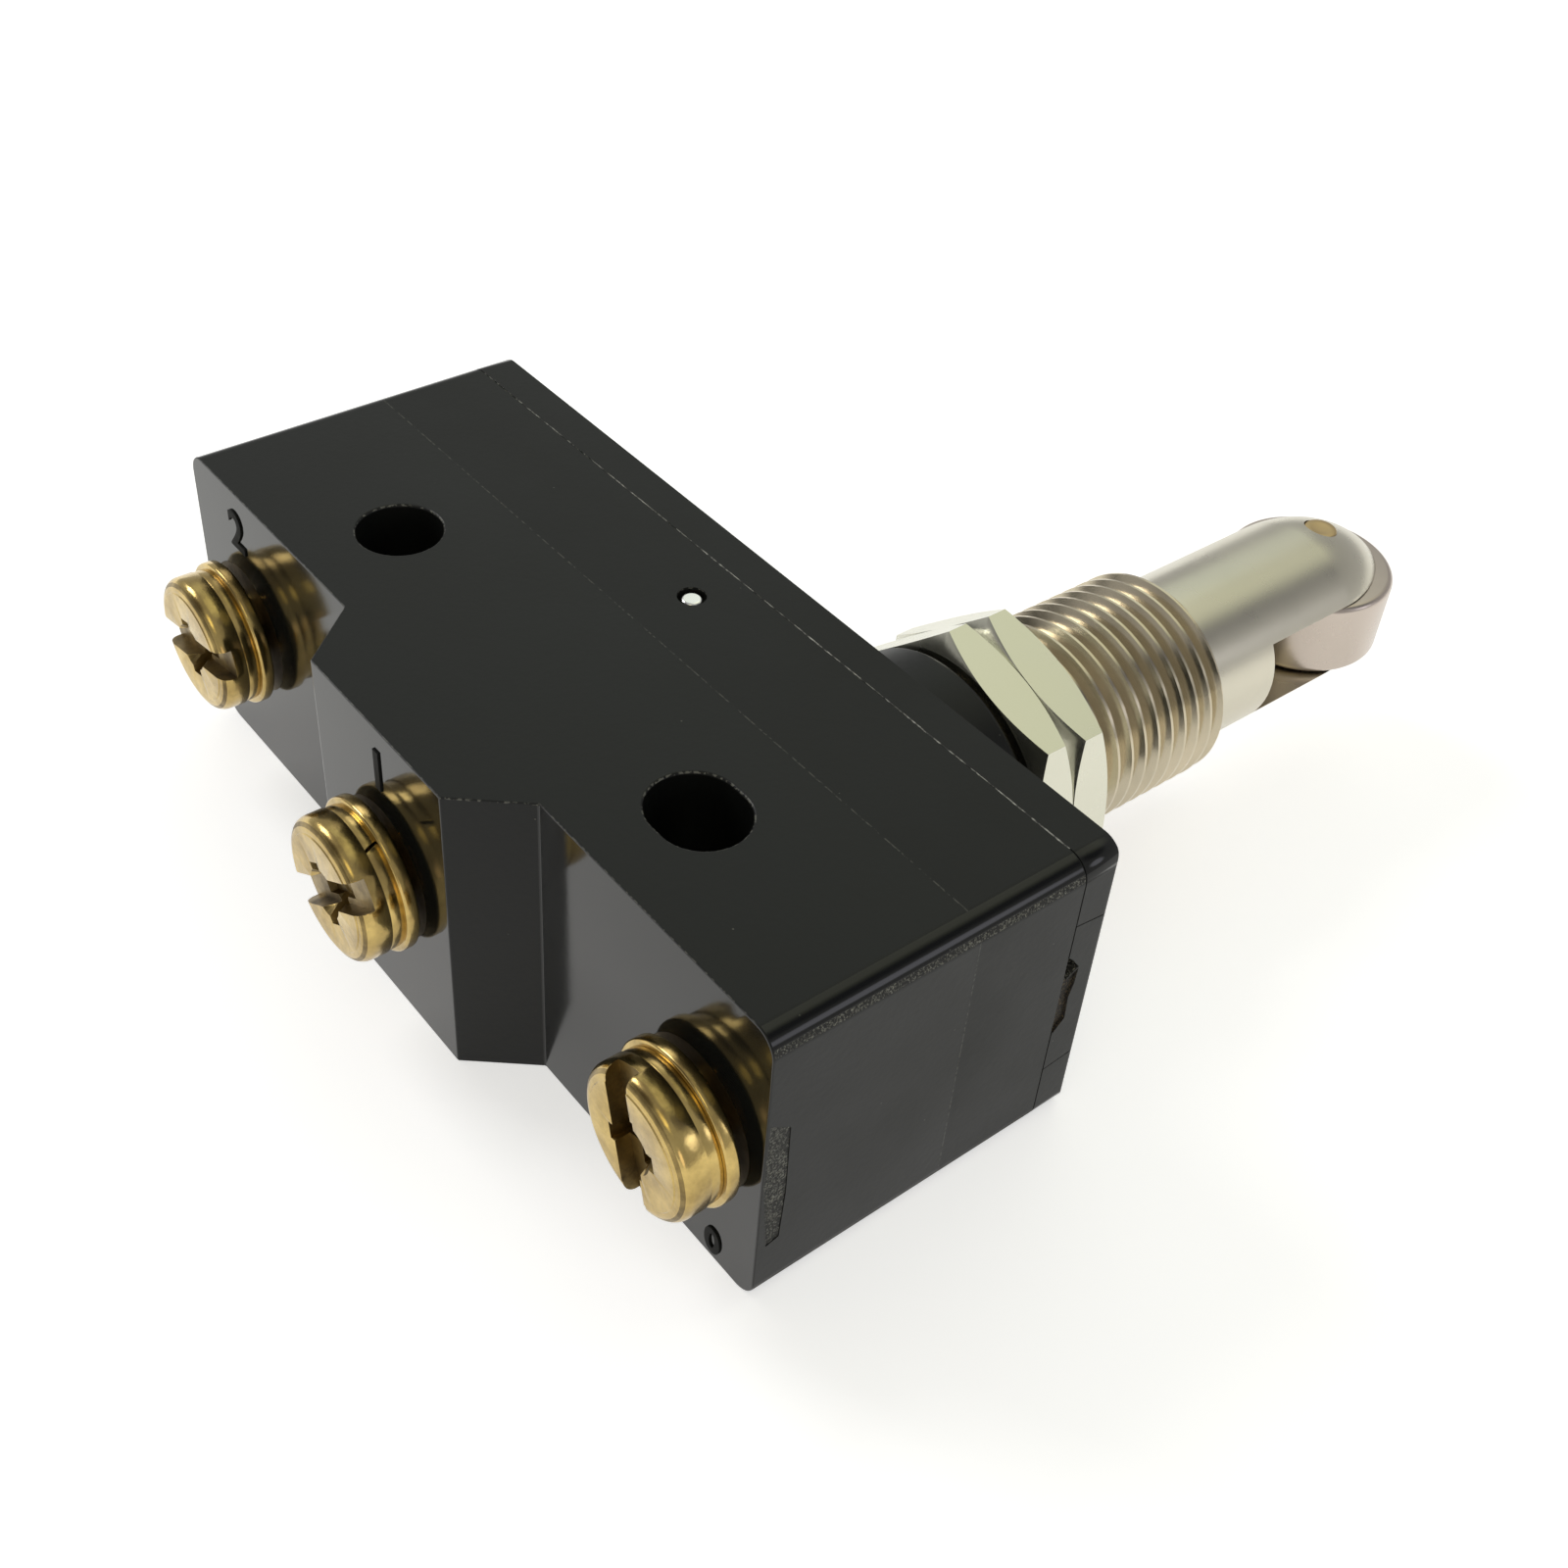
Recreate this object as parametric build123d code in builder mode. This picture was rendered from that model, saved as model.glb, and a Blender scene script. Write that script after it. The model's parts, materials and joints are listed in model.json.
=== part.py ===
from build123d import *
from math import cos, radians, sin, tan
import os

os.makedirs("parts", exist_ok=True)

# A snap-action limit switch with a threaded bushing and a cross-roller plunger, lying on its
# side. X runs along the case, Y along the plunger towards the roller, Z up through the
# thickness. The origin is midway between the two mounting holes, on the face that the switch
# lies on. Sizes are in millimetres and angles in degrees.

# Case and cover
hole_pitch = 25.4
hole_diameter = 4.4
hole_slot_length = 5.1
terminal_offset = 7.7        # from a mounting hole to the outer terminal beside it
end_margin = 4.6             # from an outer terminal to the end of the case
case_thickness = 17.45
shelf_depth = 5.45           # from the hole line to the seats of the outer terminals
block_depth = 8.75           # from the hole line to the seat of the middle terminal
block_width = 11.5
block_slope = 2.75           # run of the slanted side at each end of the middle block
seam_height = 11.8           # from the hole line to the joint between case and cover
cover_thickness = 2.1
end_rounding = 1.2
corner_rounding = 0.4
rim_rounding = 0.35
chamber_depth = 7.8
end_wall = 3.5
side_wall = 2.9
fit_gap = 0.02               # between pieces pressed or moulded together
slide_gap = 0.05             # between pieces that slide or turn on each other
play = 0.1                   # between pieces that only come near each other

# Cross pin that holds the cover
cross_pin_diameter = 1.16
cross_pin_drop = 2.8         # from the joint down to the pin's axis
cross_pin_recess = 0.5
cross_pin_mouth = 1.5
lug_width = 4.0
lug_below_pin = 1.1
lug_clearance = 0.5          # from the side of the blade to a lug

# Threaded bushing, its boss on the cover, and the two nuts
plunger_x = 10.1
thread_diameter = 11.8
thread_pitch = 1.0
thread_depth = 0.5
thread_groove = 0.85         # width of a groove at its mouth
thread_chamfer = 0.5
boss_wall = 1.2
boss_height = 3.7
bushing_reach = 19.4         # from the cover's face to the end of the bushing
bushing_wall = 0.55
stop_ledge = 0.45
guide_web = 1.7
guide_boss_depth = 1.6
nut_wall = 1.05
nut_thickness = 2.4
nut_lift = 0.35              # from the boss to the inner nut
nut_chamfer_angle = 30
inner_nut_turn = 41.3
outer_nut_turn = 39.6

# Roller plunger
plunger_travel = 4.0
pin_travel = 0.4
collar_thickness = 1.4
roller_diameter = 9.6
roller_width = 4.6
roller_edge = 0.4
roller_side_play = 0.1
axle_diameter = 1.9
axle_reach = 13.2            # from the end of the bushing to the roller's axle
axle_inset = 0.3
dome_below_axle = 1.9
dome_radius = 8.6
dome_arc = 50                # the rest of the dome lies inside the roller's slot
slot_relief = 3.45           # from the roller to the floor of its slot
bore_web = 1.5               # between the floors of the slot and of the spring bore

# Overtravel spring, its seat, and the pin plunger
spring_radius = 3.4
spring_wire = 0.6
spring_turns = 7
spring_play = 0.25
seat_thickness = 0.3
seat_spigot = 1.2
pin_diameter = 3.2
pin_head_thickness = 0.7
pin_tip_rounding = 0.5

# Snap blade, its anchor, and the contacts
strip_thickness = 0.8
strip_width = 5.0
blade_width = 6.0
blade_thickness = 0.25
blade_drop = 3.55            # from the joint down to the blade
window_width = 3.2
window_back = 6.3            # from the blade's rear edge to its window
window_front = 10.9          # from the blade's tip back to its window
tongue_setback = 4.6         # from the rear end of the window to the tongue's tip
tongue_width = 2.4
tongue_drop = 0.8
tongue_sag = 0.56
tongue_gap = 0.3             # from the apex of a notch to the edge that rests in it
contact_diameter = 3.0
contact_height = 0.45
contact_shank = 1.4
contact_gap = 0.6
contact_margin = 0.4
contact_offset = 3.4         # from the normally closed terminal to the contacts
pivot_offset = 6.1           # from the common terminal to the blade's rear edge
anchor_post = 1.2
notch_depth = 0.6
rivet_offset = 10.4          # from the common terminal to the anchor's rivet
rivet_head = 2.4
rivet_head_height = 0.6

# Terminal posts, screws and washers
post_diameter = 7.4
post_length = 5.45
middle_post_length = 5.75
screw_diameter = 3.9
screw_length = 6.85
screw_play = 0.3
screw_head_diameter = 7.5
screw_head_height = 1.45
screw_head_rounding = 0.9
screw_slot_width = 1.2
screw_slot_depth = 0.8
screw_cross_length = 3.0
screw_cross_width = 0.9
screw_cross_depth = 1.2
washer_diameter = 8.0
washer_thickness = 0.7
washer_edge = 0.15
lock_washer_diameter = 7.4
lock_washer_thickness = 0.65
lock_washer_split = 0.5
lock_washer_slant = 20       # of the split, from the screw's axis
wire_gap = 0.6               # room for the wire between a seat and its washer
middle_wire_gap = 0.45

# Places that several pieces share
mid_z = case_thickness / 2
terminal_x = hole_pitch / 2 + terminal_offset
case_half = terminal_x + end_margin
cover_face = seam_height + cover_thickness
boss_face = cover_face + boss_height
bushing_end = cover_face + bushing_reach
chamber_floor = seam_height - chamber_depth
chamber_half = case_half - end_wall
chamber_width = case_thickness - 2 * side_wall
cross_pin_y = seam_height - cross_pin_drop
boss_radius = thread_diameter / 2 + boss_wall

blade_top = seam_height - blade_drop
blade_bottom = blade_top - blade_thickness
blade_mid = (blade_top + blade_bottom) / 2
pivot_x = pivot_offset - terminal_x
contact_x = terminal_x - contact_offset
blade_tip = contact_x + contact_diameter / 2 + contact_margin
moving_top = blade_top + contact_height
moving_bottom = blade_bottom - contact_height
closed_face = moving_top + play
closed_strip_top = closed_face + contact_height + strip_thickness
open_face = moving_bottom - contact_gap
open_strip_top = open_face - contact_height
common_strip_top = chamber_floor + strip_thickness

guide_floor = seam_height - guide_boss_depth
guide_top = guide_floor + guide_web
pin_bottom = blade_top + play
pin_head_bottom = guide_top + pin_travel + play
pin_head_top = pin_head_bottom + pin_head_thickness
seat_bottom = pin_head_top + slide_gap
seat_top = seat_bottom + seat_thickness

stop_radius = thread_diameter / 2 - bushing_wall
plunger_radius = stop_radius - stop_ledge - slide_gap
collar_radius = stop_radius - slide_gap
collar_bottom = guide_top + plunger_travel + play
collar_top = collar_bottom + collar_thickness
stop_y = collar_top + play
axle_y = bushing_end + axle_reach
roller_radius = roller_diameter / 2
slot_half = roller_width / 2 + roller_side_play
slot_floor = axle_y - roller_radius - slot_relief
dome_start = axle_y - dome_below_axle
spring_bore = spring_radius + spring_wire / 2 + spring_play
spring_ceiling = slot_floor - bore_web

plunger_axis = Axis((plunger_x, 0, mid_z), (0, 1, 0))
side_view = Plane.XY.offset(mid_z)

# Terminal name: place along X, seat, length of the post, room under the washer, directions of
# the screw's slot and of the split in its lock washer
terminals = {
    "common": (-terminal_x, -shelf_depth, post_length, wire_gap, 13, 150),
    "normally_open": (0, -block_depth, middle_post_length, middle_wire_gap, 36, 64),
    "normally_closed": (terminal_x, -shelf_depth, post_length, wire_gap, 98, -24),
}


def across(x, y):
    """Plane square to the plunger's axis, at a point of the middle plane."""
    return Plane(origin=(x, y, mid_z), x_dir=(1, 0, 0), z_dir=(0, 1, 0))


def bent_strip(x, foot, top, reach):
    """Corners of a strip, seen from the side, that rises at x and then runs level to reach."""
    side = strip_thickness / 2 if reach > x else -strip_thickness / 2
    return [
        (x - side, foot),
        (x - side, top),
        (reach, top),
        (reach, top - strip_thickness),
        (x + side, top - strip_thickness),
        (x + side, foot),
    ]


# Moulded case: a prism with a stepped terminal side and a chamber open to the cover
with BuildPart() as case:
    with BuildSketch():
        with BuildLine():
            Polyline(
                (-case_half, -shelf_depth),
                (-block_width / 2 - block_slope, -shelf_depth),
                (-block_width / 2, -block_depth),
                (block_width / 2, -block_depth),
                (block_width / 2 + block_slope, -shelf_depth),
                (case_half, -shelf_depth),
                (case_half, seam_height),
                (-case_half, seam_height),
                close=True,
            )
        make_face()
    extrude(amount=case_thickness)
    # The long edges of both ends are rounded
    with BuildSketch(across(0, -block_depth)):
        RectangleRounded(2 * case_half, case_thickness, end_rounding)
    extrude(amount=block_depth + seam_height, mode=Mode.INTERSECT)
    with BuildSketch(across(0, seam_height)):
        Rectangle(2 * chamber_half, chamber_width)
    extrude(amount=-chamber_depth, mode=Mode.SUBTRACT)
    # One mounting hole is round, and the other is slotted along the case
    with BuildSketch():
        with Locations((-hole_pitch / 2, 0)):
            Circle(hole_diameter / 2)
        with Locations((hole_pitch / 2, 0)):
            SlotOverall(hole_slot_length, hole_diameter)
        with Locations((0, cross_pin_y)):
            Circle(cross_pin_diameter / 2 + fit_gap)
    extrude(amount=case_thickness, mode=Mode.SUBTRACT)
    # Wider mouths of the cross pin's hole, in both faces
    with BuildSketch(Plane.XY, Plane.XY.offset(case_thickness - cross_pin_recess)):
        with Locations((0, cross_pin_y)):
            Circle(cross_pin_mouth / 2)
    extrude(amount=cross_pin_recess, mode=Mode.SUBTRACT)
    # Sockets of the terminal posts, and the slots that their strips rise through
    for place, seat, length, *_ in terminals.values():
        with BuildSketch(across(place, seat)):
            Circle(post_diameter / 2 + fit_gap)
        extrude(amount=length, mode=Mode.SUBTRACT)
        with BuildSketch(across(place, seat)):
            Rectangle(strip_thickness, strip_width)
        extrude(amount=chamber_floor - seat, mode=Mode.SUBTRACT)

case.part.label = "case"
export_step(case.part, "parts/case.step")


# Moulded cover: a plate with a round boss for the bushing, a guide for the pin plunger
# below it, and two lugs that reach into the chamber and take the cross pin
with BuildPart() as cover:
    with BuildSketch():
        with BuildLine():
            Polyline(
                (-case_half, seam_height),
                (case_half, seam_height),
                (case_half, cover_face),
                (-case_half, cover_face),
                close=True,
            )
        make_face()
        fillet(vertices().group_by(Axis.Y)[-1], corner_rounding)
    extrude(amount=case_thickness)
    with BuildSketch(across(0, seam_height)):
        RectangleRounded(2 * case_half, case_thickness, end_rounding)
    extrude(amount=cover_thickness, mode=Mode.INTERSECT)
    with BuildSketch(across(plunger_x, cover_face)):
        Circle(boss_radius)
    extrude(amount=boss_height)
    fillet(edges().group_by(Axis.Y)[-1], rim_rounding)
    # The guide boss is trimmed to slip between the side walls of the chamber
    with BuildSketch(across(plunger_x, guide_floor)):
        Circle(boss_radius)
        Rectangle(2 * boss_radius, chamber_width - 2 * play, mode=Mode.INTERSECT)
    extrude(amount=guide_boss_depth)
    lug_inner = blade_width / 2 + lug_clearance
    lug_outer = chamber_width / 2 - play
    with BuildSketch(across(0, cross_pin_y - lug_below_pin)):
        with Locations((0, (lug_inner + lug_outer) / 2), (0, -(lug_inner + lug_outer) / 2)):
            Rectangle(lug_width, lug_outer - lug_inner)
    extrude(amount=seam_height - cross_pin_y + lug_below_pin)
    with BuildSketch():
        with Locations((0, cross_pin_y)):
            Circle(cross_pin_diameter / 2 + fit_gap)
    extrude(amount=case_thickness, mode=Mode.SUBTRACT)
    # Socket of the bushing, and the hole that guides the pin plunger
    with BuildSketch(across(plunger_x, guide_top)):
        Circle(thread_diameter / 2 + fit_gap)
    extrude(amount=boss_face - guide_top, mode=Mode.SUBTRACT)
    with BuildSketch(across(plunger_x, guide_floor)):
        Circle(pin_diameter / 2 + slide_gap)
    extrude(amount=guide_web, mode=Mode.SUBTRACT)

cover.part.label = "cover"
export_step(cover.part, "parts/cover.step")


# Cross pin through the case and the cover's lugs, a little below both faces
with BuildPart() as cover_pin:
    with BuildSketch(Plane.XY.offset(cross_pin_recess)):
        with Locations((0, cross_pin_y)):
            Circle(cross_pin_diameter / 2)
    extrude(amount=case_thickness - 2 * cross_pin_recess)
    chamfer(edges().filter_by(GeomType.CIRCLE), play)

cover_pin.part.label = "cover_pin"
export_step(cover_pin.part, "parts/cover_pin.step")


# Turned bushing. Its thread is drawn as rings, one pitch apart. The bore steps out at the
# bottom, and the ledge stops the plunger's collar.
with BuildPart() as threaded_bushing:
    with BuildSketch(across(plunger_x, guide_top)):
        Circle(thread_diameter / 2)
    extrude(amount=bushing_end - guide_top)
    chamfer(edges().group_by(Axis.Y)[-1], thread_chamfer)
    with BuildSketch(across(plunger_x, guide_top)):
        Circle(stop_radius)
    extrude(amount=stop_y - guide_top, mode=Mode.SUBTRACT)
    with BuildSketch(across(plunger_x, stop_y)):
        Circle(plunger_radius + slide_gap)
    extrude(amount=bushing_end - stop_y, mode=Mode.SUBTRACT)
    thread_length = bushing_end - thread_chamfer - boss_face
    with BuildSketch(side_view):
        with Locations((plunger_x + thread_diameter / 2, boss_face + thread_length / 2)):
            with GridLocations(0, thread_pitch, 1, int(thread_length / thread_pitch)):
                Polygon(
                    (0, -thread_groove / 2),
                    (0, thread_groove / 2),
                    (-thread_depth, 0),
                    align=None,
                )
    revolve(axis=plunger_axis, mode=Mode.SUBTRACT)

threaded_bushing.part.label = "threaded_bushing"
export_step(threaded_bushing.part, "parts/threaded_bushing.step")


# Two thin hex nuts, chamfered on both faces from the inscribed circle out to the corners
nut_bore = thread_diameter / 2 + slide_gap
nut_flat = nut_bore + nut_wall
nut_corner = nut_flat / cos(radians(30))
corner_drop = (nut_corner - nut_flat) * tan(radians(nut_chamfer_angle))
inner_nut_y = boss_face + nut_lift
nuts = {
    "inner_nut": (inner_nut_y, inner_nut_turn),
    "outer_nut": (inner_nut_y + nut_thickness + slide_gap, outer_nut_turn),
}
for nut_name, (nut_y, nut_turn) in nuts.items():
    with BuildPart() as nut:
        with BuildSketch(side_view):
            with BuildLine():
                Polyline(
                    (plunger_x + nut_bore, nut_y),
                    (plunger_x + nut_flat, nut_y),
                    (plunger_x + nut_corner, nut_y + corner_drop),
                    (plunger_x + nut_corner, nut_y + nut_thickness - corner_drop),
                    (plunger_x + nut_flat, nut_y + nut_thickness),
                    (plunger_x + nut_bore, nut_y + nut_thickness),
                    close=True,
                )
            make_face()
        revolve(axis=plunger_axis)
        with BuildSketch(across(plunger_x, nut_y)):
            RegularPolygon(nut_corner, 6, rotation=-nut_turn)
        extrude(amount=nut_thickness, mode=Mode.INTERSECT)
    nut.part.label = nut_name
    export_step(nut.part, f"parts/{nut_name}.step")


# Turned plunger: a collar at the bottom, a blind bore for the spring, a domed end, and a
# slot for the roller that leaves two ears
with BuildPart() as roller_plunger:
    with BuildSketch(side_view):
        with BuildLine():
            side = Polyline(
                (plunger_x, spring_ceiling),
                (plunger_x + spring_bore, spring_ceiling),
                (plunger_x + spring_bore, collar_bottom),
                (plunger_x + collar_radius, collar_bottom),
                (plunger_x + collar_radius, collar_top),
                (plunger_x + plunger_radius, collar_top),
                (plunger_x + plunger_radius, dome_start),
            )
            dome_centre = (plunger_x + plunger_radius - dome_radius, dome_start)
            dome = CenterArc(dome_centre, dome_radius, 0, dome_arc)
            Polyline(dome @ 1, (plunger_x, (dome @ 1).Y), side @ 0)
        make_face()
    revolve(axis=plunger_axis)
    slot_reach = dome_start + dome_radius - slot_floor
    with BuildSketch(side_view):
        with Locations((plunger_x, slot_floor + slot_reach / 2)):
            Rectangle(2 * collar_radius, slot_reach)
    extrude(amount=slot_half, both=True, mode=Mode.SUBTRACT)
    with BuildSketch(side_view):
        with Locations((plunger_x, axle_y)):
            Circle(axle_diameter / 2 + fit_gap)
    extrude(amount=plunger_radius, both=True, mode=Mode.SUBTRACT)

roller_plunger.part.label = "roller_plunger"
export_step(roller_plunger.part, "parts/roller_plunger.step")


# Steel roller with rounded edges
with BuildPart() as roller:
    with BuildSketch(side_view):
        with Locations((plunger_x, axle_y)):
            Circle(roller_radius)
    extrude(amount=roller_width / 2, both=True)
    fillet(edges().filter_by(GeomType.CIRCLE), roller_edge)
    with BuildSketch(side_view):
        with Locations((plunger_x, axle_y)):
            Circle(axle_diameter / 2 + slide_gap)
    extrude(amount=roller_width / 2, both=True, mode=Mode.SUBTRACT)

roller.part.label = "roller"
export_step(roller.part, "parts/roller.step")


# Axle pressed into both ears, just below their surface
with BuildPart() as roller_axle:
    with BuildSketch(side_view):
        with Locations((plunger_x, axle_y)):
            Circle(axle_diameter / 2)
    extrude(amount=plunger_radius - axle_inset, both=True)
    chamfer(edges().filter_by(GeomType.CIRCLE), play)

roller_axle.part.label = "roller_axle"
export_step(roller_axle.part, "parts/roller_axle.step")


# Overtravel spring, from its seat on the pin plunger to the ceiling of the plunger's bore
spring_length = spring_ceiling - seat_top - spring_wire - 2 * slide_gap
spring_start = seat_top + spring_wire / 2 + slide_gap
with BuildPart() as overtravel_spring:
    with BuildLine():
        coil = Helix(
            spring_length / spring_turns,
            spring_length,
            spring_radius,
            center=(plunger_x, spring_start, mid_z),
            direction=(0, 1, 0),
        )
    with BuildSketch(Plane(origin=coil @ 0, z_dir=coil % 0)):
        Circle(spring_wire / 2)
    sweep(is_frenet=True)

overtravel_spring.part.label = "overtravel_spring"
export_step(overtravel_spring.part, "parts/overtravel_spring.step")


# Turned seat of the spring, with a spigot that keeps the first coil in the middle
with BuildPart() as spring_seat:
    with BuildSketch(across(plunger_x, seat_bottom)):
        Circle(spring_radius + spring_wire / 2)
    extrude(amount=seat_thickness)
    with BuildSketch(across(plunger_x, seat_top)):
        Circle(spring_radius - spring_wire / 2 - play)
    extrude(amount=seat_spigot)
    chamfer(edges().group_by(Axis.Y)[-1], 2 * play)

spring_seat.part.label = "spring_seat"
export_step(spring_seat.part, "parts/spring_seat.step")


# Moulded pin plunger: its head lies in the bushing, and its rounded tip meets the blade
with BuildPart() as pin_plunger:
    with BuildSketch(across(plunger_x, pin_bottom)):
        Circle(pin_diameter / 2)
    extrude(amount=pin_head_top - pin_bottom)
    fillet(edges().group_by(Axis.Y)[0], pin_tip_rounding)
    with BuildSketch(across(plunger_x, pin_head_bottom)):
        Circle(spring_radius + spring_wire / 2)
    extrude(amount=pin_head_thickness)

pin_plunger.part.label = "pin_plunger"
export_step(pin_plunger.part, "parts/pin_plunger.step")


# Snap blade: a thin spring plate whose rear edge rests in the anchor's notch. A bowed
# tongue, cut free in its window, pushes against the second notch.
window_start = pivot_x + window_back
window_end = blade_tip - window_front
tongue_tip = window_start + tongue_setback
with BuildPart() as snap_blade:
    with BuildSketch(across(0, blade_bottom)):
        with Locations(((pivot_x + blade_tip) / 2, 0)):
            Rectangle(blade_tip - pivot_x, blade_width)
        with Locations(((window_start + window_end) / 2, 0)):
            Rectangle(window_end - window_start, window_width, mode=Mode.SUBTRACT)
        with Locations((contact_x, 0)):
            Circle(contact_shank / 2 + fit_gap, mode=Mode.SUBTRACT)
    extrude(amount=blade_thickness)
    fillet(edges().filter_by(Axis.Y).group_by(Axis.X)[-1], contact_margin)
    tongue_root = window_end + blade_thickness
    tongue_y = blade_mid - tongue_drop
    with BuildSketch(side_view):
        with BuildLine():
            ThreePointArc(
                (tongue_root, blade_mid),
                ((tongue_root + tongue_tip) / 2, (blade_mid + tongue_y) / 2 - tongue_sag),
                (tongue_tip, tongue_y),
            )
        trace(line_width=blade_thickness)
    extrude(amount=tongue_width / 2, both=True)

snap_blade.part.label = "snap_blade"
export_step(snap_blade.part, "parts/snap_blade.step")


# Silver contact riveted through the blade's tip, with a button on each side
with BuildPart() as moving_contact:
    with BuildSketch(across(contact_x, moving_bottom)):
        Circle(contact_diameter / 2)
    extrude(amount=contact_height)
    with BuildSketch(across(contact_x, blade_bottom)):
        Circle(contact_shank / 2)
    extrude(amount=blade_thickness)
    with BuildSketch(across(contact_x, blade_top)):
        Circle(contact_diameter / 2)
    extrude(amount=contact_height)

moving_contact.part.label = "moving_contact"
export_step(moving_contact.part, "parts/moving_contact.step")


# Anchor: a folded bracket on the common strip. Its tall wall holds the blade's rear edge
# in a notch, and its short post holds the tip of the tongue.
wall_face = pivot_x + notch_depth
wall_apex = pivot_x - tongue_gap / 2
post_face = tongue_tip + notch_depth / 2
post_apex = tongue_tip - tongue_gap
anchor_base = common_strip_top + strip_thickness
with BuildPart() as blade_anchor:
    with BuildSketch(side_view):
        with BuildLine():
            Polyline(
                (wall_apex - strip_thickness, common_strip_top),
                (post_face, common_strip_top),
                (post_face, anchor_base),
                (wall_face, anchor_base),
                (wall_face, blade_mid - notch_depth),
                (wall_apex, blade_mid),
                (wall_face, blade_mid + notch_depth),
                (wall_face, blade_mid + 2 * notch_depth),
                (wall_apex - strip_thickness, blade_mid + 2 * notch_depth),
                close=True,
            )
        make_face()
    extrude(amount=blade_width / 2, both=True)
    with BuildSketch(side_view):
        with BuildLine():
            Polyline(
                (post_face - anchor_post, anchor_base),
                (post_face, anchor_base),
                (post_face, tongue_y - notch_depth),
                (post_apex, tongue_y),
                (post_face, tongue_y + notch_depth),
                (post_face, blade_top),
                (post_face - anchor_post, blade_top),
                close=True,
            )
        make_face()
    extrude(amount=tongue_width / 2, both=True)
    with BuildSketch(across(rivet_offset - terminal_x, common_strip_top)):
        Circle(contact_shank / 2 + fit_gap)
    extrude(amount=strip_thickness, mode=Mode.SUBTRACT)

blade_anchor.part.label = "blade_anchor"
export_step(blade_anchor.part, "parts/blade_anchor.step")


# Rivet through the anchor and the common strip
with BuildPart() as blade_rivet:
    with BuildSketch(across(rivet_offset - terminal_x, chamber_floor)):
        Circle(contact_shank / 2)
    extrude(amount=anchor_base - chamber_floor)
    with BuildSketch(across(rivet_offset - terminal_x, anchor_base)):
        Circle(rivet_head / 2)
    extrude(amount=rivet_head_height)
    fillet(edges().group_by(Axis.Y)[-1], rivet_head_height / 2)

blade_rivet.part.label = "blade_rivet"
export_step(blade_rivet.part, "parts/blade_rivet.step")


# Brass terminals: a threaded post moulded into the case, with a strip to its contact
strip_reach = contact_diameter / 2 + contact_margin
strips = {
    "common": (common_strip_top, rivet_offset + rivet_head - terminal_x, rivet_offset - terminal_x),
    "normally_open": (open_strip_top, contact_x + strip_reach, contact_x),
    "normally_closed": (closed_strip_top, contact_x - strip_reach, contact_x),
}
for terminal_name, (place, seat, length, gap, *_) in terminals.items():
    strip_top, strip_end, rivet_place = strips[terminal_name]
    with BuildPart() as terminal:
        with BuildSketch(across(place, seat)):
            Circle(post_diameter / 2)
        extrude(amount=length)
        with BuildSketch(side_view):
            with BuildLine():
                Polyline(*bent_strip(place, seat + length, strip_top, strip_end), close=True)
            make_face()
        extrude(amount=strip_width / 2, both=True)
        with BuildSketch(across(rivet_place, strip_top)):
            Circle(contact_shank / 2 + fit_gap)
        extrude(amount=-strip_thickness, mode=Mode.SUBTRACT)
        with BuildSketch(across(place, seat)):
            Circle(screw_diameter / 2 + slide_gap)
        screw_depth = screw_length - lock_washer_thickness - washer_thickness - gap
        extrude(amount=screw_depth + screw_play, mode=Mode.SUBTRACT)
    terminal.part.label = f"{terminal_name}_terminal"
    export_step(terminal.part, f"parts/{terminal_name}_terminal.step")


# Fixed silver contacts, riveted through the strips. The normally closed one faces down,
# and the normally open one faces up.
fixed_contacts = {
    "normally_closed": (closed_face, closed_face + contact_height, 1),
    "normally_open": (open_face, open_face - contact_height, -1),
}
for contact_name, (face, back, way) in fixed_contacts.items():
    with BuildPart() as contact:
        with BuildSketch(across(contact_x, face)):
            Circle(contact_diameter / 2)
        extrude(amount=way * contact_height)
        with BuildSketch(across(contact_x, back)):
            Circle(contact_shank / 2)
        extrude(amount=way * strip_thickness)
    contact.part.label = f"{contact_name}_contact"
    export_step(contact.part, f"parts/{contact_name}_contact.step")


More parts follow.
